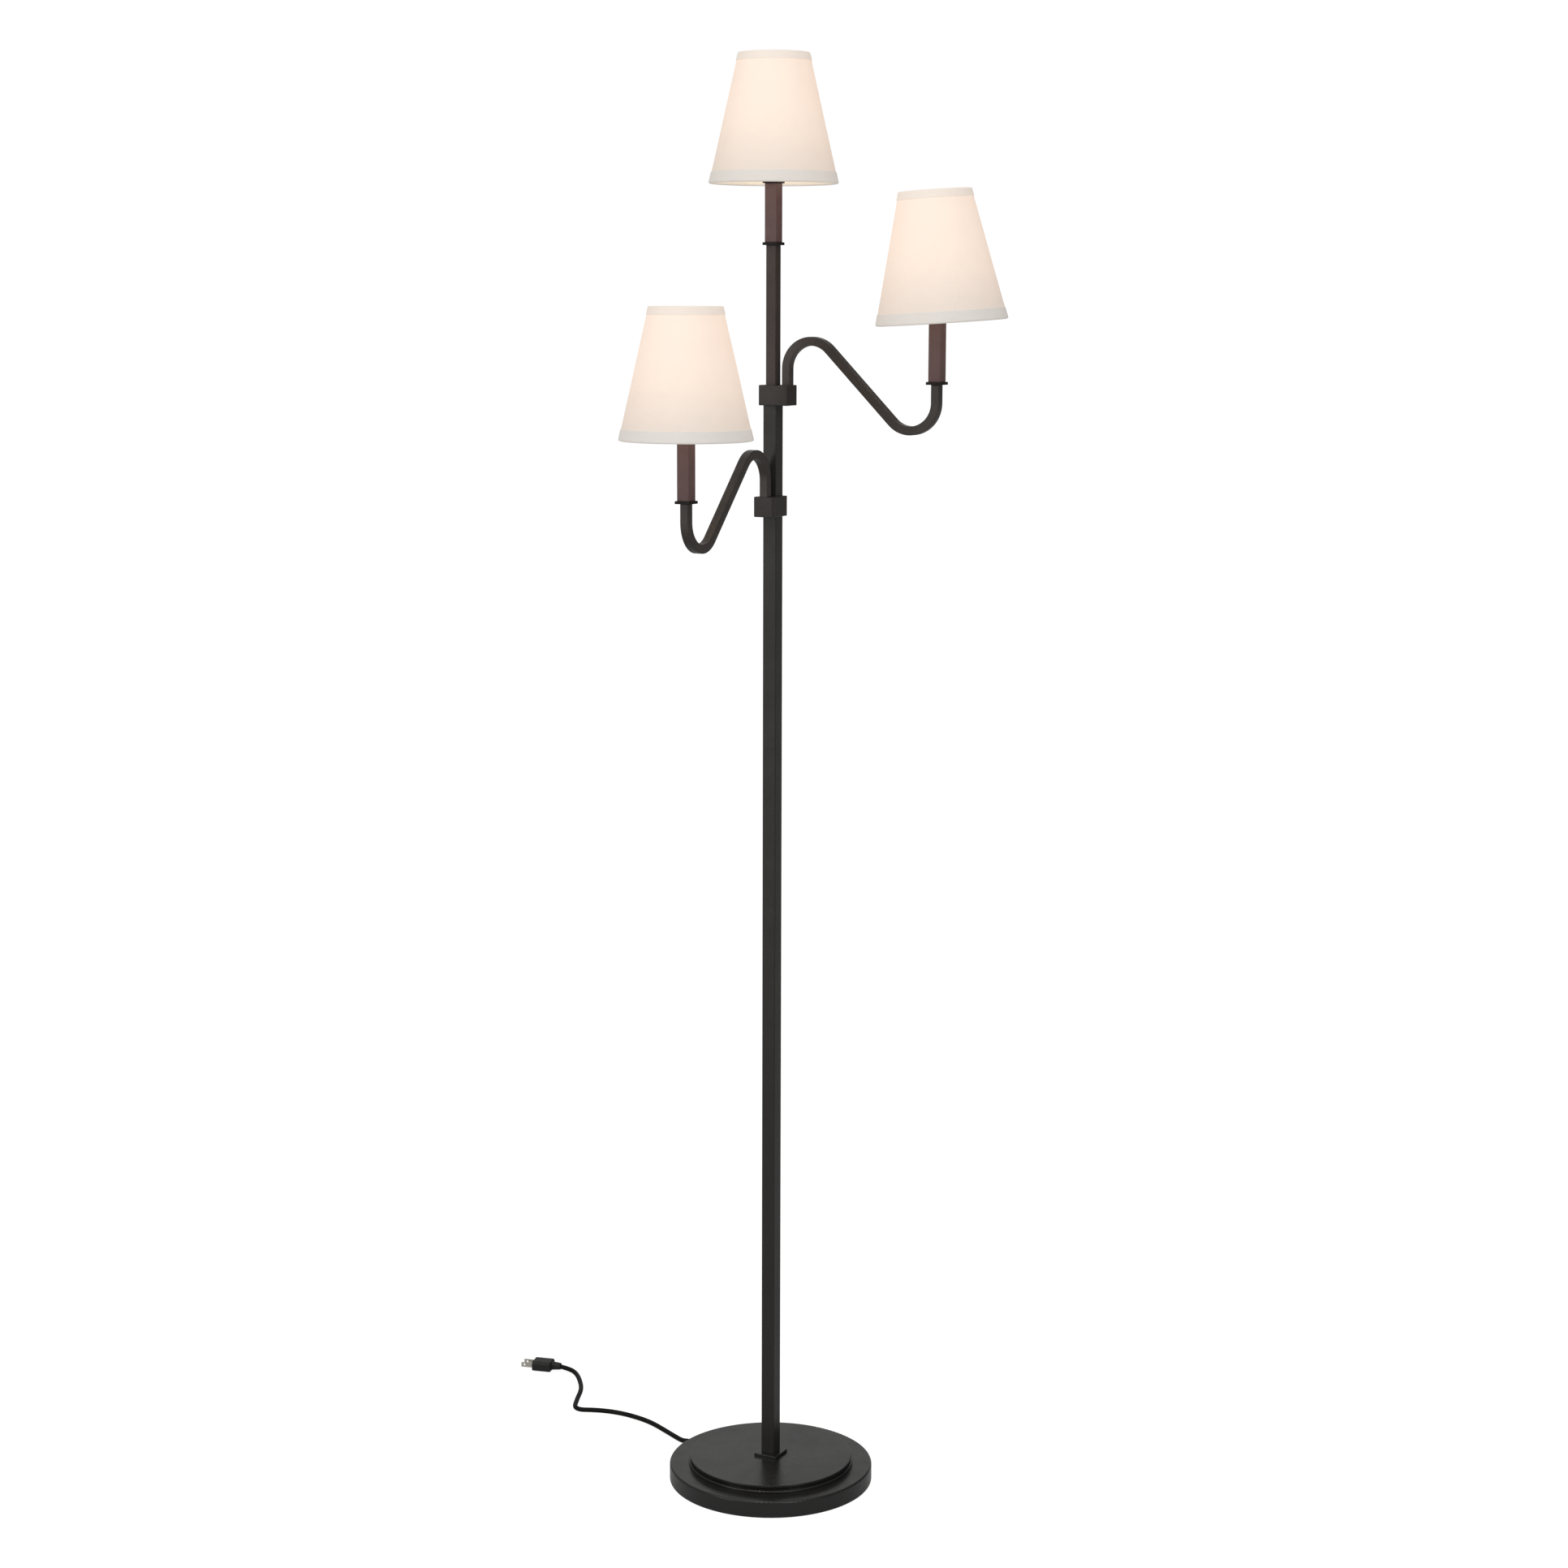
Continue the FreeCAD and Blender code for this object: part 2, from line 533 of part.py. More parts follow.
HALF = CORD_D / 2
ROUTE = [
    tuple(ang(GLAND_TIP, EXIT_DIR, EXIT_Z)),
    (-141.3, 39.2, 6.4),
    (-152.0, 43.6, HALF),
    (-168.0, 51.8, HALF),
    (-189.4, 63.4, HALF),
    (-217.5, 78.0, HALF),
    (-247.0, 85.8, HALF),
    (-276.0, 87.8, HALF),
    (-303.6, 82.4, HALF),
    (-332.0, 69.2, HALF),
    (-347.6, 103.2, HALF),
    (-360.4, 136.6, HALF),
    (-380.8, 165.2, HALF),
    (-397.4, 183.2, 3.3),
    (-411.6, 190.6, 4.2),
    (-427.0, 187.0, 6.9),
]


def cord_path(pts):
    P = [V(*p) for p in pts]
    n = len(P)
    cut = []
    for i in range(1, n - 1):
        a, b = P[i] - P[i - 1], P[i + 1] - P[i]
        turn = a.getAngle(b)
        short = min(a.Length, b.Length)
        t = 0.45 * short
        r = t / math.tan(turn / 2)
        cut.append((t, r, math.degrees(turn)))
    edges = []
    cur = P[0]
    for i in range(1, n - 1):
        t, r, deg = cut[i - 1]
        d0 = (P[i] - P[i - 1]).normalize()
        d1 = (P[i + 1] - P[i]).normalize()
        s = P[i] - d0 * t
        e_ = P[i] + d1 * t
        bis = (d1 - d0).normalize()
        turn = math.radians(deg)
        centre = P[i] + bis * (r / math.cos(turn / 2))
        mid = centre - bis * r
        edges.append(Part.LineSegment(cur, s).toShape())
        edges.append(Part.Arc(s, mid, e_).toShape())
        cur = e_
    edges.append(Part.LineSegment(cur, P[-1]).toShape())
    return Part.Wire(edges), cut


wire, cut = cord_path(ROUTE)
print("cord radii:", [(round(r, 1), round(dg, 1)) for _, r, dg in cut])
first = wire.Edges[0]
tdir = (V(*ROUTE[1]) - V(*ROUTE[0])).normalize()
prof = Part.Wire([Part.Circle(V(*ROUTE[0]), tdir, HALF).toShape()])
cord = wire.makePipeShell([prof], True, True)
print("cord length", round(wire.Length, 1), "volume ratio",
      round(cord.Volume / (wire.Length * math.pi * HALF ** 2), 4))
put("cord", cord)

# the lead inside the base, from the gland to the pole's hollow stud
lead = [ang(GLAND_TIP - 35.7, EXIT_DIR, EXIT_Z), ang(80, EXIT_DIR + 1.0, EXIT_Z - 0.9),
        ang(52, EXIT_DIR - 1.0, 5.6), ang(26, EXIT_DIR, 5.4)]
lw, lc = cord_path([tuple(p) for p in lead])
ld = (lead[1] - lead[0]).normalize()
put("cord_lead_inside", lw.makePipeShell(
    [Part.Wire([Part.Circle(lead[0], ld, HALF).toShape()])], True, True))

# plug: two-blade body lying flat, with a tapered tail
PLUG_DIR = 193.0
PLUG_Z = 7.0


def plug_place(s):
    s = s.copy()
    s.rotate(V(0, 0, 0), V(0, 0, 1), PLUG_DIR)
    s.translate(V(ROUTE[-1][0], ROUTE[-1][1], PLUG_Z))
    return s


tail = Part.makeCone(4.6, 6.0, 14.0, V(-2, 0, 0), V(1, 0, 0))
tail = tail.cut(Part.makeCone(3.95, 3.45, 3.0, V(-2.02, 0, 0), V(1, 0, 0)))
bd = box(10.0, 36.0, -11.6, 11.6, -6.9, 6.9)
side = [ed for ed in bd.Edges if abs(ed.Vertexes[0].Point.x - ed.Vertexes[1].Point.x) > 20]
bd = bd.makeFillet(4.2, side)
rear = [ed for ed in bd.Edges if all(abs(v.Point.x - 10.0) < 1e-6 for v in ed.Vertexes)]
bd = bd.makeFillet(2.0, rear)
put("plug_body", plug_place(tail.fuse(bd).removeSplitter()))
bl = []
for s in (1, -1):
    b = box(36.02, 53.0, s * 6.35 - 0.75, s * 6.35 + 0.75, -3.15, 3.15)
    b = b.cut(cyl_dir(1.5, V(48.5, s * 6.35 - 2, 0), V(0, 1, 0), 4))
    bl.append(b)
put("plug_blades", plug_place(Part.makeCompound(bl)))

# ---------------------------------------------------------------- write
for name in sorted(C):
    s = C[name]
    if not s.isValid():
        print("NOT VALID", name)
    s.exportStep(os.path.join("parts", name + ".step"))
print("nodes", len(C))
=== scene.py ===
import math

import bpy
from mathutils import Matrix, Vector, noise


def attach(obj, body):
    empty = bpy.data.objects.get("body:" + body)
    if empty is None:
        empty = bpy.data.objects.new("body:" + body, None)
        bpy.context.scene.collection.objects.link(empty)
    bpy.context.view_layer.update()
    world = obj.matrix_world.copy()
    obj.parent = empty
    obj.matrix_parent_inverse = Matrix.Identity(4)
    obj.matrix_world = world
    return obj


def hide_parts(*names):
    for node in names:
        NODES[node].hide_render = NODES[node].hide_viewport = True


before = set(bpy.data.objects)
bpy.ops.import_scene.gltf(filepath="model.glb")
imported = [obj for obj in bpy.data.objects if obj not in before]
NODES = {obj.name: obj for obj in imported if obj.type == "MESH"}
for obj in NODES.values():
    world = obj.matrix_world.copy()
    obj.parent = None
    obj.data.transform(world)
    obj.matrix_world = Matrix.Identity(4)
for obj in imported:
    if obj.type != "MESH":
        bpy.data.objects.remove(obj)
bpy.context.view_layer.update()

MM = 0.001
scene = bpy.context.scene


def link(obj):
    scene.collection.objects.link(obj)
    return obj


# ------------------------------------------------------------------ camera
AZ, PITCH, YAW, ROLL = (math.radians(a) for a in (27.4099, 9.5968, 0.2366, 0.1743))
CAM_D, CAM_H = 3.44947, 1.46981
up = Vector((0, 0, 1))
fw = Vector((-math.sin(AZ), math.cos(AZ), 0))
rt = Vector((math.cos(AZ), math.sin(AZ), 0))
place = -fw * CAM_D + up * CAM_H
fw, rt = fw * math.cos(YAW) + rt * math.sin(YAW), rt * math.cos(YAW) - fw * math.sin(YAW)
look = fw * math.cos(PITCH) - up * math.sin(PITCH)
top = fw * math.sin(PITCH) + up * math.cos(PITCH)
right = rt * math.cos(ROLL) + top * math.sin(ROLL)
top = top * math.cos(ROLL) - rt * math.sin(ROLL)
cam = link(bpy.data.objects.new("camera", bpy.data.cameras.new("camera")))
cam.data.lens = 66.34
cam.data.sensor_width = 36.0
cam.data.clip_start, cam.data.clip_end = 0.05, 100.0
cam.matrix_world = Matrix((
    (right.x, top.x, -look.x, place.x),
    (right.y, top.y, -look.y, place.y),
    (right.z, top.z, -look.z, place.z),
    (0, 0, 0, 1)))
scene.camera = cam

# ------------------------------------------------------------------ cord
CORD_D = 6.2 * MM
ROUTE = [
    (-0.133945, 0.037146, 0.0072), (-0.1413, 0.0392, 0.0064), (-0.1520, 0.0436, 0.0031), (-0.1680, 0.0518, 0.0031),
    (-0.1894, 0.0634, 0.0031), (-0.2175, 0.0780, 0.0031), (-0.2470, 0.0858, 0.0031),
    (-0.2760, 0.0878, 0.0031), (-0.3036, 0.0824, 0.0031), (-0.3320, 0.0692, 0.0031),
    (-0.3476, 0.1032, 0.0031), (-0.3604, 0.1366, 0.0031), (-0.3808, 0.1652, 0.0031),
    (-0.3974, 0.1832, 0.0033), (-0.4116, 0.1906, 0.0042), (-0.4270, 0.1870, 0.0069)]
line = bpy.data.curves.new("cord_jacket", "CURVE")
line.dimensions = "3D"
spline = line.splines.new("NURBS")
spline.points.add(len(ROUTE) - 1)
for p, at in zip(spline.points, ROUTE):
    p.co = (*at, 1.0)
spline.order_u = 3
spline.use_endpoint_u = True
spline.resolution_u = 14
line.bevel_depth = CORD_D / 2
line.bevel_resolution = 8
line.use_fill_caps = True
cord = link(bpy.data.objects.new("cord_jacket", line))


# ------------------------------------------------------------------ material nodes
class Net:
    """A material made of nodes, with one Principled shader."""

    def __init__(self, name):
        self.mat = bpy.data.materials.new(name)
        self.mat.use_nodes = True
        self.tree = self.mat.node_tree
        self.tree.nodes.clear()
        self.out = self.add("ShaderNodeOutputMaterial")
        self.p = self.add("ShaderNodeBsdfPrincipled")
        self.join(self.p.outputs[0], self.out.inputs[0])

    def add(self, kind, **props):
        n = self.tree.nodes.new(kind)
        for k, v in props.items():
            setattr(n, k, v)
        return n

    def join(self, a, b):
        self.tree.links.new(a, b)

    def feed(self, socket, value):
        if hasattr(value, "is_linked") or hasattr(value, "links"):
            self.join(value, socket)
        elif isinstance(value, (tuple, list)) and len(value) == 3 and socket.type == "RGBA":
            socket.default_value = (*value, 1.0)
        else:
            socket.default_value = value

    def set(self, **values):
        for k, v in values.items():
            self.feed(self.p.inputs[k.replace("_", " ")], v)

    def place(self, scale=(1, 1, 1), rot=(0, 0, 0), uv=None):
        if uv:
            src = self.add("ShaderNodeUVMap", uv_map=uv).outputs[0]
        else:
            src = self.add("ShaderNodeTexCoord").outputs["Object"]
        m = self.add("ShaderNodeMapping")
        self.join(src, m.inputs[0])
        m.inputs["Scale"].default_value = scale
        m.inputs["Rotation"].default_value = rot
        return m.outputs[0]

    def noise(self, vec, scale, detail=3.0, rough=0.55, twist=0.0):
        n = self.add("ShaderNodeTexNoise")
        self.join(vec, n.inputs["Vector"])
        n.inputs["Scale"].default_value = scale
        n.inputs["Detail"].default_value = detail
        n.inputs["Roughness"].default_value = rough
        n.inputs["Distortion"].default_value = twist
        return n.outputs["Fac"]

    def cells(self, vec, scale, feature="F1"):
        n = self.add("ShaderNodeTexVoronoi", feature=feature)
        self.join(vec, n.inputs["Vector"])
        n.inputs["Scale"].default_value = scale
        return n.outputs["Distance"]

    def math(self, op, a, b=0.0, clamp=False):
        n = self.add("ShaderNodeMath", operation=op, use_clamp=clamp)
        self.feed(n.inputs[0], a)
        self.feed(n.inputs[1], b)
        return n.outputs[0]

    def fit(self, value, a, b, c, d, smooth=False):
        n = self.add("ShaderNodeMapRange", clamp=True)
        if smooth:
            n.interpolation_type = "SMOOTHSTEP"
        self.feed(n.inputs[0], value)
        for i, v in enumerate((a, b, c, d)):
            n.inputs[i + 1].default_value = v
        return n.outputs[0]

    def ramp(self, fac, stops, how="LINEAR"):
        n = self.add("ShaderNodeValToRGB")
        n.color_ramp.interpolation = how
        e = n.color_ramp.elements
        e[0].position, e[0].color = stops[0][0], (*stops[0][1], 1)
        e[1].position, e[1].color = stops[-1][0], (*stops[-1][1], 1)
        for at, c in stops[1:-1]:
            e.new(at).color = (*c, 1)
        self.join(fac, n.inputs[0])
        return n.outputs[0]

    def mix(self, fac, a, b, mode="MIX"):
        n = self.add("ShaderNodeMix", data_type="RGBA", blend_type=mode)
        self.feed(n.inputs[0], fac)
        self.feed(n.inputs[6], a)
        self.feed(n.inputs[7], b)
        return n.outputs[2]

    def bump(self, height, strength, distance, under=None):
        n = self.add("ShaderNodeBump")
        n.inputs["Strength"].default_value = strength
        n.inputs["Distance"].default_value = distance
        self.join(height, n.inputs["Height"])
        if under is not None:
            self.join(under, n.inputs["Normal"])
        return n.outputs[0]

    def edges(self, radius, lo=0.02, hi=0.16):
        """1 on sharp outer edges, 0 on flat faces."""
        b = self.add("ShaderNodeBevel", samples=4)
        b.inputs["Radius"].default_value = radius
        g = self.add("ShaderNodeNewGeometry")
        d = self.add("ShaderNodeVectorMath", operation="DOT_PRODUCT")
        self.join(b.outputs[0], d.inputs[0])
        self.join(g.outputs["Normal"], d.inputs[1])
        return self.fit(self.math("SUBTRACT", 1.0, d.outputs["Value"]), lo, hi, 0.0, 1.0)


def scaled(c, k):
    return tuple(min(1.0, x * k) for x in c)


def painted(name, colour, rubbed, rough=0.34, level=0.3, edge=0.0009, mottle=0.22, grain=1.0, wear=0.55, coat=0.0, corner=0.0013):
    """Satin rubbed-bronze paint: cloudy colour, fine spray texture, lighter rubbed edges, faint handling marks."""
    n = Net(name)
    pos = n.place()
    cloud = n.noise(pos, 26.0, 4.0, 0.6, 0.3)
    drift = n.noise(pos, 7.0, 2.0)
    fine = n.noise(pos, 420.0, 4.0, 0.62)
    spray = n.noise(pos, 1500.0, 2.0, 0.5)
    tone = n.ramp(cloud, [(0.28, scaled(colour, 1 - mottle)), (0.52, colour), (0.78, scaled(colour, 1 + mottle))])
    warm = n.mix(n.fit(drift, 0.35, 0.7, 0.0, 0.35), tone, scaled((colour[0] * 1.12, colour[1], colour[2] * 0.9), 1.05))
    fleck = n.fit(n.cells(pos, 900.0), 0.0, 0.16, 1.0, 0.0)
    keep = n.fit(n.noise(pos, 140.0, 2.0), 0.56, 0.7, 0.0, 0.45)
    speckled = n.mix(n.math("MULTIPLY", fleck, keep), warm, rubbed)
    worn = n.math("MULTIPLY", n.edges(edge), n.fit(n.noise(pos, 95.0, 4.0, 0.7), 0.3, 0.72, 0.15, wear))
    n.set(Base_Color=n.mix(worn, speckled, rubbed))
    streak = n.noise(n.place((60, 60, 1400), (0.3, 0.15, 0)), 1.0, 3.0, 0.6)
    marks = n.fit(streak, 0.55, 0.78, 0.0, 0.06)
    smudge = n.fit(n.noise(pos, 18.0, 5.0, 0.65, 0.6), 0.3, 0.75, rough - 0.05, rough + 0.09)
    r = n.math("ADD", n.math("ADD", smudge, marks), n.fit(fine, 0.3, 0.7, -0.02, 0.03), True)
    n.set(Roughness=r, Specular_IOR_Level=level, Metallic=0.0)
    if coat:
        n.set(Coat_Weight=coat, Coat_Roughness=0.18)
    soft = n.add("ShaderNodeBevel", samples=6)
    soft.inputs["Radius"].default_value = corner
    b = n.bump(n.noise(pos, 300.0, 3.0), 0.10 * grain, 0.0004, soft.outputs[0])
    b = n.bump(spray, 0.10 * grain, 0.00012, b)
    n.set(Normal=b)
    return n.mat


def plated(name, colour, rough, brushed=(1, 1, 1), tarnish=None, metallic=1.0):
    """Plated or plain metal hardware with drawing marks and slight tarnish."""
    n = Net(name)
    pos = n.place()
    lines = n.noise(n.place(brushed), 900.0, 3.0, 0.6)
    cloud = n.noise(pos, 60.0, 4.0, 0.65, 0.4)
    dark = tarnish or scaled(colour, 0.62)
    c = n.mix(n.fit(cloud, 0.45, 0.8, 0.0, 0.7), colour, dark)
    n.set(Base_Color=n.mix(n.fit(lines, 0.3, 0.7, 0.0, 0.16), c, dark), Metallic=metallic)
    n.set(Roughness=n.math("ADD", n.fit(cloud, 0.3, 0.8, rough - 0.05, rough + 0.14), n.fit(lines, 0.3, 0.7, -0.03, 0.05)))
    n.set(Normal=n.bump(lines, 0.12, 0.0001))
    return n.mat


def moulded(name, colour, rough, level=0.4, grain=1.0, scale=700.0, dust=(0.25, 0.24, 0.22)):
    """Moulded plastic or rubber: fine grain, faint cloudiness, a little dust in random patches."""
    n = Net(name)
    pos = n.place()
    grainy = n.noise(pos, scale, 3.0, 0.55)
    cloud = n.noise(pos, 45.0, 4.0, 0.6)
    c = n.ramp(cloud, [(0.3, scaled(colour, 0.8)), (0.72, scaled(colour, 1.25))])
    dusty = n.math("MULTIPLY", n.fit(n.noise(pos, 240.0, 4.0, 0.7), 0.55, 0.8, 0.0, 0.35), n.fit(cloud, 0.4, 0.7, 0.2, 1.0))
    n.set(Base_Color=n.mix(n.math("MULTIPLY", dusty, 0.12), c, dust), Specular_IOR_Level=level)
    n.set(Roughness=n.fit(grainy, 0.3, 0.75, rough - 0.06, rough + 0.08))
    n.set(Normal=n.bump(grainy, 0.18 * grain, 0.00012))
    return n.mat


M = {}
M["base_black"] = painted("cast_base_paint", (0.0150, 0.0147, 0.0146), (0.060, 0.052, 0.046), 0.25, 0.44, 0.0006, 0.12, 0.35, 0.20, corner=0.0006)
M["pole_bronze"] = painted("pole_paint", (0.0260, 0.0250, 0.0238), (0.075, 0.062, 0.054), 0.30, 0.28, 0.0006, 0.14, 0.45, 0.30)
# the upper pole uses the pole paint made lighter and warmer: painted warm light from the shades above
M["upper_pole_warm_lit"] = painted("upper_pole_paint", (0.0470, 0.0340, 0.0300), (0.095, 0.066, 0.052), 0.32, 0.26, 0.0006, 0.2, 0.5, 0.30)
M["collar_bronze"] = painted("collar_paint", (0.0300, 0.0255, 0.0238), (0.085, 0.064, 0.052), 0.32, 0.28, 0.0008, 0.2, 0.5, 0.35)
M["arm_bronze"] = painted("arm_paint", (0.0460, 0.0385, 0.0350), (0.100, 0.070, 0.056), 0.30, 0.30, 0.0006, 0.24, 0.5, 0.30)
M["sleeve_bronze"] = painted("sleeve_paint", (0.1320, 0.0800, 0.0810), (0.20, 0.115, 0.085), 0.34, 0.26, 0.0006, 0.16, 0.5, 0.35)
M["plate_bronze"] = painted("plate_paint", (0.0075, 0.0068, 0.0064), (0.040, 0.030, 0.026), 0.40, 0.20, 0.0004, 0.2, 1.0, 0.2, corner=0.0006)
M["zinc_steel"] = plated("zinc_hardware", (0.56, 0.56, 0.54), 0.34, (1, 1, 12))
M["brass"] = plated("brass_shell", (0.74, 0.55, 0.27), 0.26, (1, 1, 10), (0.45, 0.30, 0.13))
M["frame_wire"] = plated("shade_wire", (0.74, 0.70, 0.62), 0.30, (3, 3, 1))
M["blade_nickel"] = plated("plug_blade_metal", (0.78, 0.74, 0.66), 0.24, (6, 1, 1))
M["socket_black"] = moulded("socket_phenolic", (0.022, 0.020, 0.019), 0.26, 0.5, 0.5, 500.0)
M["key_black"] = moulded("switch_key_plastic", (0.024, 0.023, 0.022), 0.40, 0.42, 1.0)
M["cord_black"] = moulded("cord_jacket_rubber", (0.0060, 0.0060, 0.0056), 0.52, 0.16, 0.8, 1100.0)
M["plug_black"] = moulded("plug_moulding", (0.0155, 0.0155, 0.0150), 0.48, 0.36, 1.4, 900.0)


def felt_material():
    n = Net("felt_pad_fibres")
    pos = n.place()
    fibre = n.noise(pos, 1300.0, 5.0, 0.75, 1.4)
    clump = n.noise(pos, 160.0, 4.0, 0.7)
    c = n.ramp(fibre, [(0.3, (0.010, 0.010, 0.010)), (0.55, (0.028, 0.028, 0.029)), (0.8, (0.085, 0.084, 0.082))])
    n.set(Base_Color=n.mix(n.fit(clump, 0.35, 0.7, 0.0, 0.5), c, (0.018, 0.018, 0.018)), Roughness=0.95, Specular_IOR_Level=0.12)
    n.set(Sheen_Weight=0.25, Sheen_Roughness=0.5)
    n.set(Normal=n.bump(n.math("ADD", fibre, clump), 0.6, 0.0004))
    return n.mat


M["felt_black"] = felt_material()


def bulb_material():
    n = Net("frosted_bulb_glass")
    pos = n.place()
    frost = n.noise(pos, 1600.0, 3.0, 0.6)
    swirl = n.noise(pos, 70.0, 3.0, 0.5, 0.5)
    n.set(Base_Color=n.mix(n.fit(swirl, 0.3, 0.7, 0.0, 1.0), (0.92, 0.90, 0.86), (0.86, 0.84, 0.80)))
    n.set(Roughness=n.fit(frost, 0.3, 0.7, 0.28, 0.40), Specular_IOR_Level=0.5)
    n.set(Emission_Color=n.mix(n.fit(swirl, 0.3, 0.7, 0.0, 1.0), (1.0, 0.80, 0.56), (1.0, 0.84, 0.62)), Emission_Strength=2.2)
    n.set(Normal=n.bump(frost, 0.1, 0.00008))
    return n.mat


M["bulb_glass"] = bulb_material()


def linen_height(n, thread=0.62):
    """Plain weave with thick and thin threads. UV map 'cloth' is in centimetres of the flat cloth."""
    flat = n.add("ShaderNodeUVMap", uv_map="cloth").outputs[0]
    sep = n.add("ShaderNodeSeparateXYZ")
    n.join(flat, sep.inputs[0])
    u, v = sep.outputs[0], sep.outputs[1]
    wob = n.noise(flat, 2.6, 3.0, 0.6)
    k = 2 * math.pi / (thread * 0.1)
    uu = n.math("ADD", u, n.math("MULTIPLY", wob, 0.05))
    vv = n.math("ADD", v, n.math("MULTIPLY", wob, 0.05))
    a = n.math("SINE", n.math("MULTIPLY", uu, k))
    b = n.math("SINE", n.math("MULTIPLY", vv, k))
    over = n.math("MULTIPLY", a, b)

    def slub(scale):
        m = n.add("ShaderNodeMapping")
        n.join(flat, m.inputs[0])
        m.inputs["Scale"].default_value = scale
        return n.noise(m.outputs[0], 1.0, 3.0, 0.6)

    weft = slub((0.55, 15.0, 1.0))
    warp = slub((15.0, 0.55, 1.0))
    return over, weft, warp, flat


def linen(name, base, stops, body=1.0):
    """Off-white linen, lit through from inside. The light follows the height on the shade, map 'glow'."""
    n = Net(name)
    over, weft, warp, flat = linen_height(n)
    slubs = n.math("ADD", n.fit(weft, 0.5, 0.75, 0.0, 1.0), n.fit(warp, 0.54, 0.78, 0.0, 0.8), True)
    thin = n.math("ADD", n.fit(weft, 0.48, 0.3, 0.0, 0.6), n.fit(warp, 0.46, 0.28, 0.0, 0.6), True)
    cloud = n.noise(flat, 0.55, 3.0, 0.5)
    weave = n.fit(over, -1.0, 1.0, 0.0, 1.0)
    c = n.mix(n.math("MULTIPLY", slubs, 0.5), base, scaled(base, 0.955))
    c = n.mix(n.math("MULTIPLY", weave, 0.22), c, scaled(base, 0.93))
    n.set(Base_Color=n.mix(n.fit(cloud, 0.3, 0.7, 0.0, 0.3), c, (base[0] * 0.985, base[1] * 0.975, base[2] * 0.95)))
    at = n.add("ShaderNodeSeparateXYZ")
    n.join(n.add("ShaderNodeUVMap", uv_map="glow").outputs[0], at.inputs[0])
    light = n.ramp(at.outputs[1], stops, "B_SPLINE")
    shade = n.math("MULTIPLY", n.fit(slubs, 0.0, 1.0, 1.0, 0.93), n.fit(thin, 0.0, 1.0, 1.0, 1.05))
    shade = n.math("MULTIPLY", shade, n.fit(weave, 0.0, 1.0, 1.03, 0.96))
    shade = n.math("MULTIPLY", shade, n.fit(cloud, 0.3, 0.7, 0.97, 1.03))
    n.set(Emission_Color=n.mix(1.0, light, n.mix(shade, (0, 0, 0), (1, 1, 1)), "MULTIPLY"), Emission_Strength=1.0)
    n.set(Roughness=n.fit(slubs, 0.0, 1.0, 0.88, 0.78), Specular_IOR_Level=0.18)
    n.set(Sheen_Weight=0.08, Sheen_Roughness=0.45)
    h = n.math("ADD", n.math("MULTIPLY", over, 0.5), n.math("MULTIPLY", slubs, 1.3))
    n.set(Normal=n.bump(h, 0.35 * body, 0.00016))
    return n.mat


LINEN = (0.61, 0.588, 0.562)
M["linen"] = linen("linen_cover", LINEN, [
    (0.0, (0.362, 0.284, 0.228)), (0.16, (0.430, 0.330, 0.264)), (0.38, (0.550, 0.412, 0.318)),
    (0.60, (0.610, 0.450, 0.348)), (1.0, (0.610, 0.450, 0.350))])
# the two bands share one tape colour and differ only in their painted glow: the low band dimmer, the high band brighter
M["linen_trim_low"] = linen("linen_band_low", (0.70, 0.68, 0.655), [
    (0.0, (0.245, 0.222, 0.198)), (1.0, (0.285, 0.252, 0.222))], 1.3)
M["linen_trim_high"] = linen("linen_band_high", (0.70, 0.68, 0.655), [
    (0.0, (0.432, 0.342, 0.276)), (1.0, (0.412, 0.325, 0.262))], 1.3)


# inside face of the shade: pale liner with a painted warm glow from the bulb, brightest a little above mid-height, map
# 'glow'
def liner():
    n = Net("shade_liner")
    pos = n.place()
    soft = n.noise(pos, 240.0, 3.0, 0.5)
    at = n.add("ShaderNodeSeparateXYZ")
    n.join(n.add("ShaderNodeUVMap", uv_map="glow").outputs[0], at.inputs[0])
    light = n.ramp(at.outputs[1], [(0.0, (0.36, 0.29, 0.21)), (0.35, (0.50, 0.41, 0.30)), (0.62, (0.60, 0.50, 0.37)), (1.0, (0.46, 0.38, 0.28))], "B_SPLINE")
    n.set(Base_Color=n.mix(n.fit(soft, 0.3, 0.7, 0.0, 1.0), (0.90, 0.87, 0.82), (0.86, 0.83, 0.78)))
    n.set(Emission_Color=light, Emission_Strength=1.0)
    n.set(Roughness=n.fit(soft, 0.3, 0.7, 0.42, 0.55), Specular_IOR_Level=0.35)
    n.set(Normal=n.bump(soft, 0.06, 0.0001))
    return n.mat


M["liner"] = liner()

# ------------------------------------------------------------------ the shades
Z0, SHADE_H, RB, RT = 71.5, 148.0, 75.7, 41.6
THICK = 1.2
PIVOT = 145.5
TAN = (RB - RT) / SHADE_H
COS = 1 / math.sqrt(1 + TAN * TAN)
SIN = TAN * COS
SLANT = SHADE_H / COS
APEX = RB / SIN                       # slant distance from the cone's tip to the bottom rim
SEAM = math.radians(117.0)            # the glued overlap faces away from the camera

LIGHTS = {
    "top": ((0.0, 0.0, 1528.0), 90.0, 0.0),
    "right": ((212.0, 0.0, 1369.0), -62.7, 3.7),
    "left": ((0.0, -212.0, 1238.0), 90.0, 0.0)}


def placer(tag):
    origin, pin, tilt = LIGHTS[tag]
    m = Matrix.Translation(Vector(origin) * MM)
    if tilt:
        axis = Vector((math.cos(math.radians(pin)), math.sin(math.radians(pin)), 0))
        pivot = Matrix.Translation((0, 0, PIVOT * MM))
        m = m @ pivot @ Matrix.Rotation(math.radians(tilt), 4, axis) @ pivot.inverted()
    return m


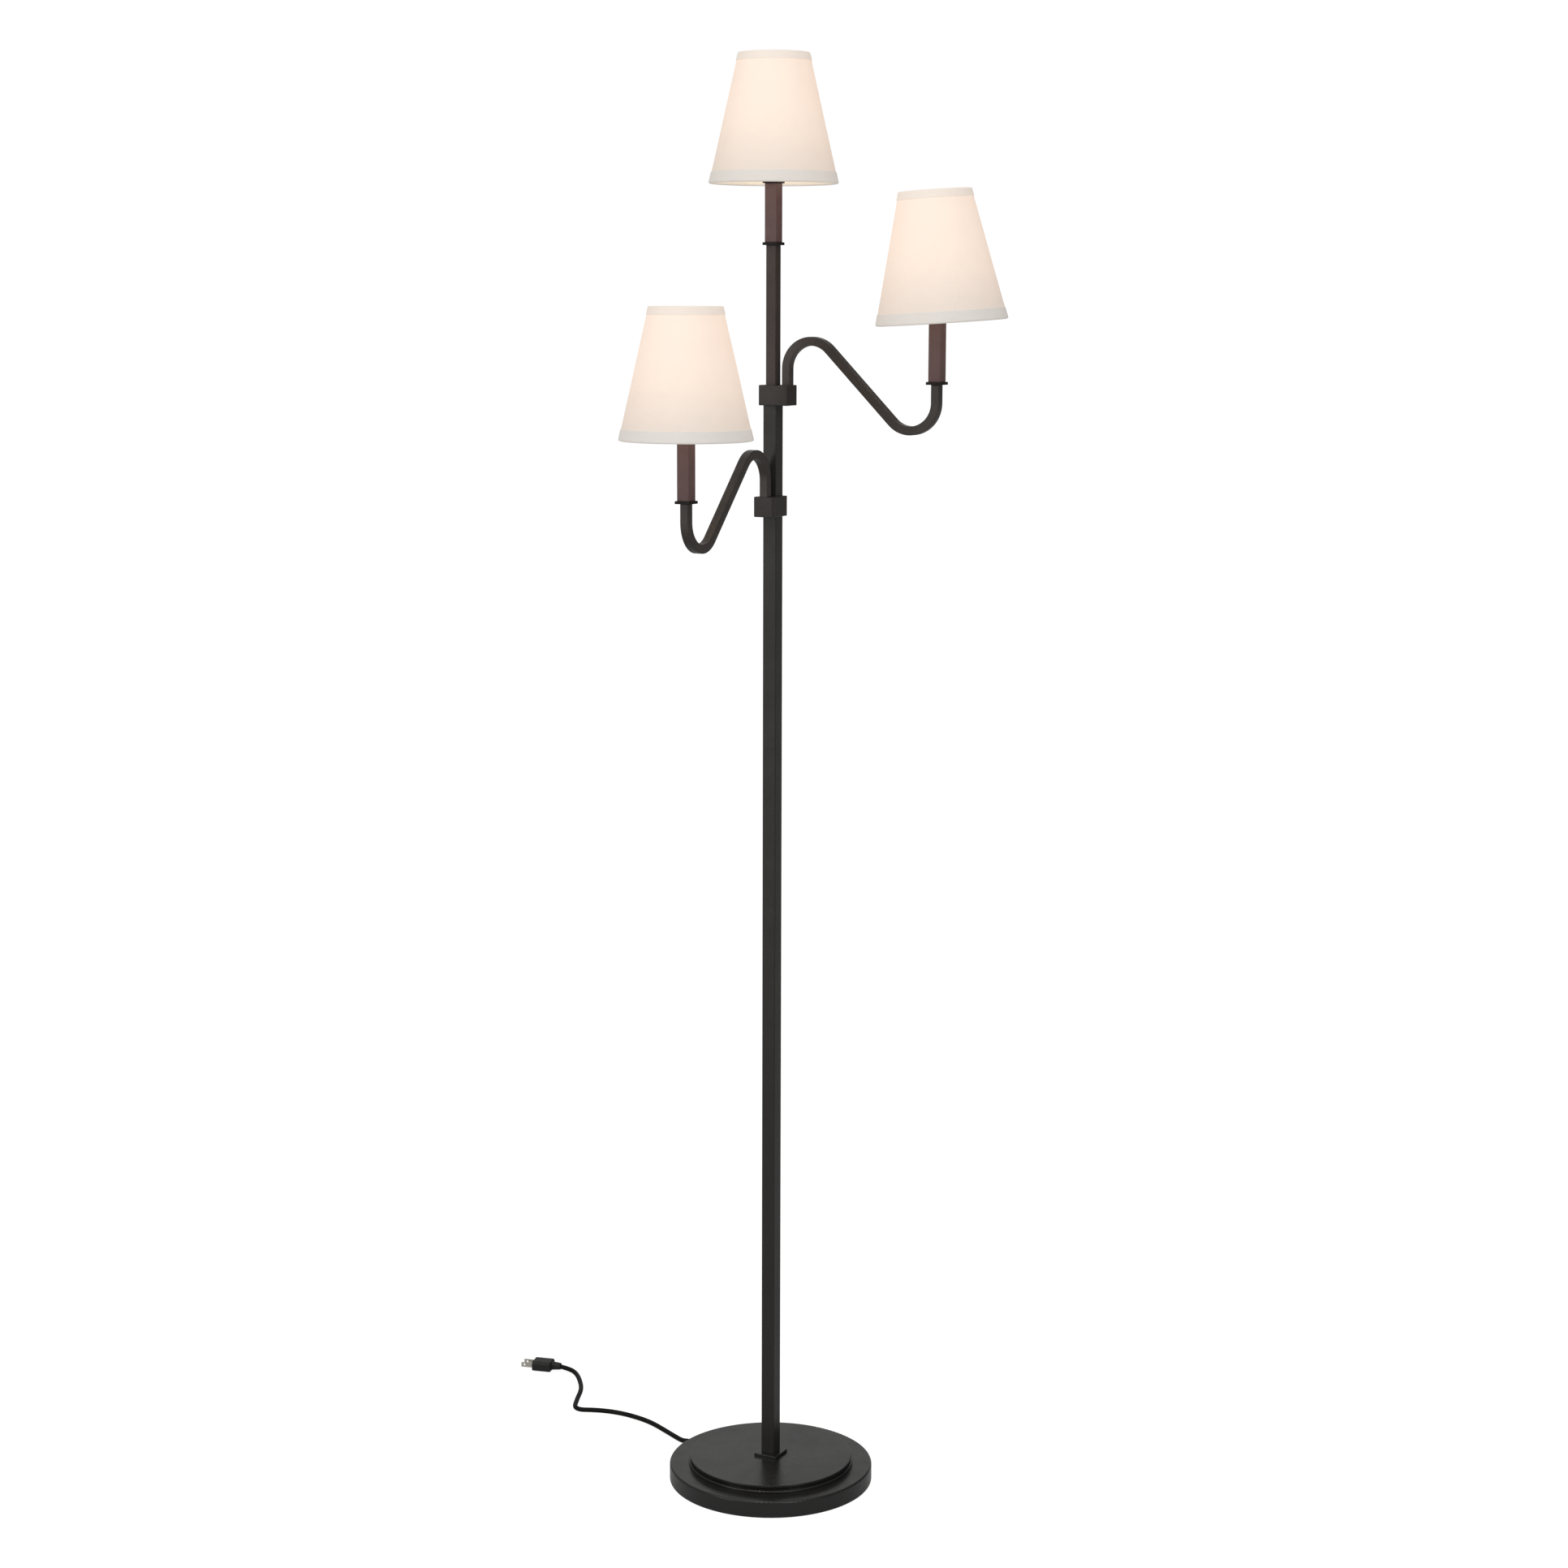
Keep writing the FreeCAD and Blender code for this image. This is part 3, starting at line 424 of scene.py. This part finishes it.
def turn_steps(around, fine, span):
    """Angles once round, with more of them near the seam."""
    out = [SEAM + 2 * math.pi * i / around for i in range(around)]
    out = [a for a in out if abs((a - SEAM + math.pi) % (2 * math.pi) - math.pi) > span]
    out += [SEAM - span + 2 * span * i / fine for i in range(fine + 1)]
    return sorted((a - SEAM + math.pi) % (2 * math.pi) - math.pi + SEAM for a in out)


def step_up(x, width):
    x = max(-1.0, min(1.0, x / width))
    return 0.5 + 0.5 * math.sin(x * math.pi / 2)


def shell(name, profile, angles, push, matrix, mats, pick, flat_uv):
    """Turns a closed profile round the shade's axis. profile is (off, s) in mm: off outward from the cloth's outer face, s up the slant from the bottom rim. push(off, s, angle) adds to off."""
    verts, faces, which, uvs, glow = [], [], [], [], []
    nv, na = len(profile), len(angles)
    for a in angles:
        for off, s in profile:
            o = off + push(off, s, a)
            r = RB - s * SIN + o * COS
            z = Z0 + s * COS + o * SIN
            verts.append(matrix @ Vector((r * math.cos(a) * MM, r * math.sin(a) * MM, z * MM)))
    for i in range(na):
        j = (i + 1) % na
        a0, a1 = angles[i], angles[j] + (2 * math.pi if j == 0 else 0)
        for k in range(nv):
            m = (k + 1) % nv
            faces.append((i * nv + k, j * nv + k, j * nv + m, i * nv + m))
            which.append(pick(k))
            for a, q in ((a0, k), (a1, k), (a1, m), (a0, m)):
                s = profile[q][1]
                uvs.append(flat_uv(a, s, profile[q][0]))
                glow.append(((a - SEAM) / (2 * math.pi), max(0.0, min(1.0, s / SLANT))))
    me = bpy.data.meshes.new(name)
    me.from_pydata(verts, [], faces)
    me.update()
    for layer, data in (("cloth", uvs), ("glow", glow)):
        uv = me.uv_layers.new(name=layer)
        uv.data.foreach_set("uv", [x for pair in data for x in pair])
    for m in mats:
        me.materials.append(m)
    me.polygons.foreach_set("material_index", which)
    me.polygons.foreach_set("use_smooth", [True] * len(faces))
    me.validate()
    me.update()
    return link(bpy.data.objects.new(name, me))


def cone_cut(a, s, off):
    """Place on the flat cut, in cm: the cover is a slice of a ring."""
    far, turn = APEX - s, (a - SEAM - math.pi) * SIN
    return far * math.sin(turn) / 10, -far * math.cos(turn) / 10


def strip_cut(a, s, off):
    return (RB - s * SIN) * (a - SEAM) / 10, (s - off) / 10


def between(a, b, n):
    return [a + (b - a) * i / n for i in range(n + 1)]


def build_shade(tag):
    seed = {"top": 3.1, "right": 11.7, "left": 23.9}[tag]
    matrix = placer(tag)
    off_seam = lambda a: ((a - SEAM + math.pi) % (2 * math.pi)) - math.pi

    # cover: cloth on a stiff liner, with a glued overlap at the rear
    rows = between(0.35, SLANT - 0.35, 46)
    prof = [(-0.06, 0.12)] + [(0.0, s) for s in rows] + [(-0.06, SLANT - 0.12), (-0.3, SLANT), (-0.9, SLANT), (-1.14, SLANT - 0.12)]
    n_out = len(prof) - 2
    rows_in = between(SLANT - 0.35, 0.35, 30)
    prof += [(-THICK, s) for s in rows_in] + [(-1.14, 0.12), (-0.9, 0.0), (-0.3, 0.0)]
    last = len(prof) - 1

    def push(off, s, a):
        if off < -0.7:
            return 0.0
        d = off_seam(a) * (RB - s * SIN)
        lap = 0.42 * step_up(d + 5.5, 0.5) * (1 - step_up(d - 5.5, 2.2))
        wave = noise.noise(Vector((math.cos(a) * 1.7, math.sin(a) * 1.7, s * 0.011)) + Vector((seed, 0, 0)))
        small = noise.noise(Vector((math.cos(a) * 7.0, math.sin(a) * 7.0, s * 0.07)) + Vector((0, seed, 0)))
        calm = min(1.0, s / 12.0, (SLANT - s) / 12.0)
        return lap + (0.22 * wave + 0.05 * small) * max(0.0, calm)

    cover = shell("linen_cover_" + tag, prof, turn_steps(168, 34, 0.17), push, matrix, [M["linen"], M["liner"]],
                  lambda k: 0 if k < n_out or k == last else 1, cone_cut)
    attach(cover, "shade_" + tag)
    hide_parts("shade_cover_" + tag)

    # bands: folded tape glued over each rim and round the wire ring
    def band(name, prof, mat, edge_s):
        def pucker(off, s, a):
            d = off_seam(a) * (RB - s * SIN)
            lap = 0.38 * step_up(d + 7.0 + (s - edge_s) * 0.25, 0.45) * (1 - step_up(d - 6.0, 2.0))
            w = noise.noise(Vector((math.cos(a) * 9.0, math.sin(a) * 9.0, s * 0.12)) + Vector((seed, seed, 0)))
            q = noise.noise(Vector((math.cos(a) * 26.0, math.sin(a) * 26.0, s * 0.2)) + Vector((0, 0, seed)))
            out = 1.0 if off > 0.1 else 0.0
            return out * (0.10 * w + 0.05 * q) + (lap if off > 0.1 else 0.0)

        obj = shell(name, prof, turn_steps(240, 30, 0.16), pucker, matrix, [mat], lambda k: 0, strip_cut)
        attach(obj, "shade_" + tag)
        return obj

    low_profile = (
        [(0.16, 12.75), (0.42, 12.72), (0.60, 12.50)] + [(0.64, s) for s in between(12.1, 1.4, 9)] +
        [(0.60, 0.55), (0.36, -0.15), (-0.3, -0.52), (-1.4, -0.62), (-2.6, -0.58), (-3.5, -0.2), (-4.05, 0.6),
         (-4.18, 1.5), (-3.9, 2.7), (-3.0, 3.9), (-2.1, 5.0), (-1.75, 6.2), (-1.66, 8.6), (-1.42, 8.8), (-1.24, 8.6),
         (-1.26, 6.2), (-1.5, 4.9), (-2.5, 3.6), (-3.4, 2.5), (-3.72, 1.5), (-3.6, 0.75), (-3.2, 0.15), (-2.5, -0.16),
         (-1.4, -0.2), (-0.45, -0.12), (-0.02, 0.12)] +
        [(0.02, s) for s in between(0.8, 12.5, 9)])
    high_profile = [
        (0.64, SLANT - 8.9), (0.60, SLANT - 9.30), (0.42, SLANT - 9.50), (0.16, SLANT - 9.52)] + [
        (0.02, SLANT - s) for s in between(9.2, 0.8, 7)] + [
        (-0.02, SLANT - 0.1), (-0.45, SLANT + 0.12), (-1.4, SLANT + 0.2), (-2.5, SLANT + 0.16), (-3.3, SLANT - 0.15),
        (-3.7, SLANT - 0.75), (-3.82, SLANT - 1.5), (-3.5, SLANT - 2.6), (-2.6, SLANT - 3.7), (-1.55, SLANT - 5.0),
        (-1.26, SLANT - 6.2), (-1.24, SLANT - 8.2), (-1.42, SLANT - 8.4), (-1.66, SLANT - 8.2), (-1.75, SLANT - 6.3),
        (-2.2, SLANT - 5.1), (-3.1, SLANT - 4.0), (-4.0, SLANT - 2.8), (-4.28, SLANT - 1.5), (-4.15, SLANT - 0.6),
        (-3.6, SLANT + 0.2), (-2.6, SLANT + 0.58), (-1.4, SLANT + 0.62), (-0.3, SLANT + 0.52), (0.36, SLANT + 0.15),
        (0.60, SLANT - 0.55)] + [(0.64, SLANT - s) for s in between(1.4, 8.4, 6)]
    low = band("linen_band_low_" + tag, low_profile, M["linen_trim_low"], 12.7)
    high = band("linen_band_high_" + tag, high_profile, M["linen_trim_high"], SLANT - 9.5)
    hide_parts("shade_trim_" + tag)
    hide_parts("shade_trim_" + tag)
    return cover


covers = [build_shade(t) for t in LIGHTS]


# ------------------------------------------------------------------ felt pad under the base
def felt_pad():
    rings = [(0.0, 0.05)] + [(r, 0.05) for r in (20, 40, 60, 80, 95, 106, 113, 117.5, 119.6)]
    rings += [(120.6, 0.28), (120.95, 0.8), (120.9, 1.35), (120.5, 1.8), (119.8, 1.98), (110.0, 1.98), (60.0, 1.98), (0.0, 1.98)]
    n = 220
    verts, faces = [], []
    idx = []
    for q, (r, z) in enumerate(rings):
        if r == 0:
            idx.append([len(verts)] * n)
            verts.append((0, 0, z * MM))
            continue
        row = []
        for i in range(n):
            a = 2 * math.pi * i / n
            p = Vector((math.cos(a) * r * 0.35, math.sin(a) * r * 0.35, z * 2.0))
            edge = noise.noise(p) * (0.28 if r > 119 else 0.0)
            lump = noise.noise(p * 0.6 + Vector((9, 0, 0))) * (0.05 if z < 0.2 else 0.0)
            row.append(len(verts))
            verts.append(((r + edge) * math.cos(a) * MM, (r + edge) * math.sin(a) * MM, max(0.0, z + lump) * MM))
        idx.append(row)
    for q in range(len(rings) - 1):
        for i in range(n):
            j = (i + 1) % n
            f = [idx[q][i], idx[q + 1][i], idx[q + 1][j], idx[q][j]]
            f = list(dict.fromkeys(f))
            if len(f) > 2:
                faces.append(f)
    me = bpy.data.meshes.new("felt_pad")
    me.from_pydata(verts, [], faces)
    me.validate()
    me.update()
    me.polygons.foreach_set("use_smooth", [True] * len(me.polygons))
    me.materials.append(M["felt_black"])
    return link(bpy.data.objects.new("felt_pad", me))


pad = felt_pad()
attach(pad, "stand")
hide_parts("base_pad")

# ------------------------------------------------------------------ materials on the CAD nodes
SLOTS = {
    "base_plate": "base_black", "base_step_disc": "base_black", "foot_flange": "base_black",
    "pole_stud": "zinc_steel", "pole_washer": "zinc_steel", "pole_nut": "zinc_steel", "pole_foot_block": "zinc_steel",
    "pole_lower": "pole_bronze", "pole_upper": "upper_pole_warm_lit", "pole_reducer": "zinc_steel",
    "collar_upper": "collar_bronze", "collar_lower": "collar_bronze", "collar_set_screws": "zinc_steel",
    "arm_upper": "arm_bronze", "arm_lower": "arm_bronze",
    "plate_lower": "plate_bronze", "plate_upper": "plate_bronze", "sleeve": "sleeve_bronze", "nipple": "zinc_steel",
    "socket_body": "socket_black", "socket_shell": "brass", "switch_key": "key_black",
    "bulb_cap": "brass", "bulb_glass": "bulb_glass", "bulb_clip": "frame_wire",
    "shade_frame": "frame_wire", "shade_cover": "linen", "shade_trim": "linen_trim_low",
    "cord_gland": "plug_black", "cord_lead_inside": "cord_black", "cord": "cord_black",
    "plug_body": "plug_black", "plug_blades": "blade_nickel", "base_pad": "felt_black"}
for name, obj in NODES.items():
    key = name
    for tag in LIGHTS:
        if name.endswith("_" + tag):
            key = name[: -len(tag) - 1]
    mat = M[SLOTS[key]]
    obj.data.materials.clear()
    obj.data.materials.append(mat)
    obj.data.polygons.foreach_set("material_index", [0] * len(obj.data.polygons))

line.materials.append(M["cord_black"])
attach(cord, "stand")
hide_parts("cord")


# ------------------------------------------------------------------ floor, light
def floor():
    n, far = 96, 40.0
    radii = [0.0, 0.5, 1.0, 2.0, 4.0, 8.0, 16.0, far]
    verts, faces = [(0, 0, 0)], []
    for r in radii[1:]:
        verts += [(r * math.cos(2 * math.pi * i / n), r * math.sin(2 * math.pi * i / n), 0) for i in range(n)]
    for i in range(n):
        faces.append((0, 1 + i, 1 + (i + 1) % n))
    for q in range(len(radii) - 2):
        for i in range(n):
            j = (i + 1) % n
            faces.append((1 + q * n + i, 1 + (q + 1) * n + i, 1 + (q + 1) * n + j, 1 + q * n + j))
    me = bpy.data.meshes.new("floor")
    me.from_pydata(verts, [], faces)
    me.update()
    net = Net("floor_paint")
    pos = net.place()
    c = net.mix(net.fit(net.noise(pos, 1.2, 3.0), 0.3, 0.7, 0.0, 1.0), (0.40, 0.40, 0.40), (0.42, 0.42, 0.42))
    net.set(Base_Color=c, Roughness=0.9, Specular_IOR_Level=0.0, Emission_Color=(1.0, 1.0, 1.0, 1.0))
    seen_ray = net.add("ShaderNodeLightPath").outputs["Is Camera Ray"]
    net.join(net.fit(seen_ray, 0.0, 1.0, 0.15, 0.86), net.p.inputs["Emission Strength"])
    me.materials.append(net.mat)
    return link(bpy.data.objects.new("floor", me))


floor()

world = bpy.data.worlds.new("studio")
scene.world = world
world.use_nodes = True
wt = world.node_tree
wt.nodes.clear()
wout = wt.nodes.new("ShaderNodeOutputWorld")
seen, lit, pick, path = (wt.nodes.new(k) for k in ("ShaderNodeBackground", "ShaderNodeBackground", "ShaderNodeMixShader", "ShaderNodeLightPath"))
seen.inputs[0].default_value = (1, 1, 1, 1)
seen.inputs[1].default_value = 1.02
coord = wt.nodes.new("ShaderNodeTexCoord")
def world_node(kind, **props):
    n = wt.nodes.new(kind)
    for k, v in props.items():
        setattr(n, k, v)
    return n


def span(value, a, b, c, d):
    n = world_node("ShaderNodeMapRange", interpolation_type="SMOOTHSTEP")
    wt.links.new(value, n.inputs[0])
    for i, v in enumerate((a, b, c, d)):
        n.inputs[i + 1].default_value = v
    return n.outputs[0]


def toward(direction):
    n = world_node("ShaderNodeVectorMath", operation="DOT_PRODUCT")
    wt.links.new(coord.outputs["Generated"], n.inputs[0])
    n.inputs[1].default_value = direction
    return n.outputs["Value"]


# a dim room with a bright sweep behind the object, a soft ceiling and a dark flag to the rear right
sweep = span(toward((-math.sin(AZ), math.cos(AZ), 0.0)), 0.80, 0.95, 0.0, 0.44)
ceiling = span(toward((0.0, 0.0, 1.0)), 0.1, 0.95, 0.17, 0.60)
flag = span(toward((math.sin(AZ), math.cos(AZ), 0.0)), 0.25, 0.85, 1.0, 0.35)
room = world_node("ShaderNodeMath", operation="MULTIPLY")
wt.links.new(ceiling, room.inputs[0])
wt.links.new(flag, room.inputs[1])
total = world_node("ShaderNodeMath", operation="ADD")
wt.links.new(sweep, total.inputs[0])
wt.links.new(room.outputs[0], total.inputs[1])
lit.inputs[0].default_value = (1.0, 0.995, 0.985, 1)
wt.links.new(total.outputs[0], lit.inputs[1])
wt.links.new(path.outputs["Is Camera Ray"], pick.inputs[0])
wt.links.new(lit.outputs[0], pick.inputs[1])
wt.links.new(seen.outputs[0], pick.inputs[2])
wt.links.new(pick.outputs[0], wout.inputs[0])


def panel(name, at, aim, size, watts, colour=(1, 1, 1), spread=180):
    d = bpy.data.lights.new(name, "AREA")
    d.shape = "RECTANGLE"
    d.size, d.size_y = size
    d.energy = watts
    d.color = colour
    d.spread = math.radians(spread)
    o = link(bpy.data.objects.new(name, d))
    o.location = at
    o.rotation_mode = "QUATERNION"
    o.rotation_quaternion = (Vector(aim) - Vector(at)).to_track_quat("-Z", "Y")
    return o


def around(deg, dist, z):
    """A place at an angle from the camera's own direction, seen from above, to the left where deg is below 0."""
    a = AZ + math.radians(deg)
    return (math.sin(a) * dist, -math.cos(a) * dist, z)


panel("key", around(-50, 3.4, 2.4), (0, 0, 1.0), (1.2, 2.6), 18, (1.0, 0.985, 0.97))
panel("strip", around(-56, 2.7, 0.95), (0, 0, 0.9), (0.6, 1.9), 5, (1.0, 0.985, 0.97))
panel("fill", around(34, 3.8, 2.0), (0, 0, 0.9), (0.7, 2.6), 24, (0.98, 0.99, 1.0))
panel("overhead", around(-8, 1.9, 3.7), (0, 0, 0.02), (1.0, 0.6), 15, (1.0, 1.0, 1.0))

scene.view_settings.view_transform = "Standard"
scene.view_settings.look = "None"
scene.view_settings.exposure = 0.0
scene.view_settings.gamma = 1.0
